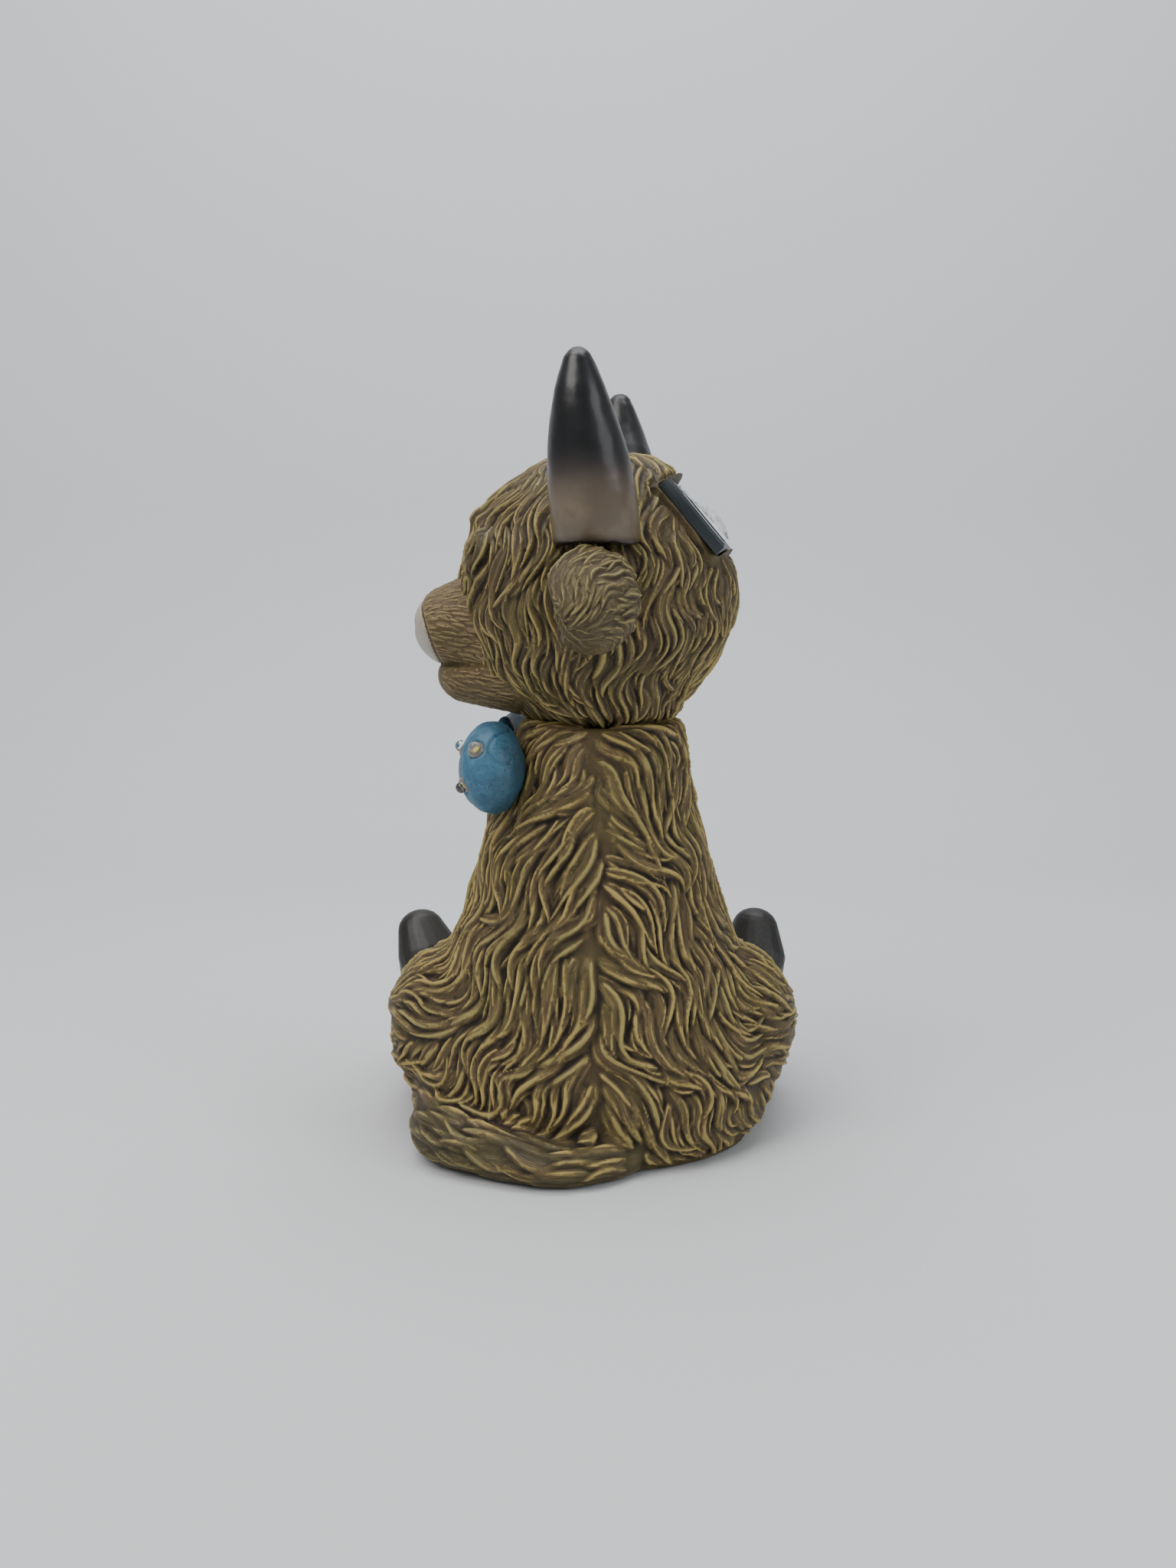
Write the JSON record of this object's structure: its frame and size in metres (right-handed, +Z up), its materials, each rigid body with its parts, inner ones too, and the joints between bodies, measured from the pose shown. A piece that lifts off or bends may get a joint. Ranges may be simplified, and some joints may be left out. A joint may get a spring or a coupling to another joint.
{
  "type": "solar garden figure",
  "caption": "Seated long-haired calf figure in painted cast resin, with small lamps in a bow at its neck, a solar panel set in its head and a battery box under its base.",
  "frame": {"origin": "middle of the base plate's underside, on the surface that the figure stands on", "axes": "+Z up; +Y the way the chest faces; +X to the calf's right, so the head, which is turned to its left, looks along -X"},
  "size_m": [0.2031, 0.2022, 0.3483],
  "materials": {
    "fur_resin": "matte",
    "horn_resin": "satin",
    "hoof_resin": "satin",
    "eye": "gloss",
    "bow_resin": "matte",
    "lamp": "gloss",
    "lead": "matte",
    "black_plastic": "satin",
    "solar_cell": "gloss",
    "clear_film": "gloss",
    "base_resin": "matte",
    "cell_sleeve": "gloss",
    "steel": "satin",
    "board": "satin",
    "board_parts": "satin"
  },
  "bodies": {
    "figure": {"body_casting": "fur_resin", "head_casting": "fur_resin", "left_horn": "horn_resin", "right_horn": "horn_resin", "left_ear": "fur_resin", "right_ear": "fur_resin", "left_eye": "eye", "right_eye": "eye", "left_hind_hoof": "hoof_resin", "right_hind_hoof": "hoof_resin", "left_fore_hoof": "hoof_resin", "right_fore_hoof": "hoof_resin", "bow_loops": "bow_resin", "bow_knot": "bow_resin", "lamp_left_front": "lamp", "lamp_left_side": "lamp", "lamp_left_low": "lamp", "lamp_right_front": "lamp", "lamp_right_side": "lamp", "lamp_right_low": "lamp", "lamp_lead": "lead", "solar_frame": "black_plastic", "solar_cell": "solar_cell", "panel_film": "clear_film", "solar_lead": "lead", "base_plate": "base_resin", "battery_box": "black_plastic", "battery_cell": "cell_sleeve", "contact_spring": "steel", "contact_plate": "steel", "circuit_board": "board", "board_parts": "board_parts", "switch_body": "steel"},
    "switch": {"switch_slider": "black_plastic"},
    "door": {"battery_door": "black_plastic", "door_screws": "steel"}
  },
  "joints": [
    {"name": "power_switch", "type": "slide", "parent": "figure", "child": "switch", "axis": [0, 1, 0], "range_m": [0, 0.0035]},
    {"name": "battery_door_lift", "type": "slide", "parent": "figure", "child": "door", "axis": [0, 0, -1], "range_m": [0, 0.014]}
  ]
}
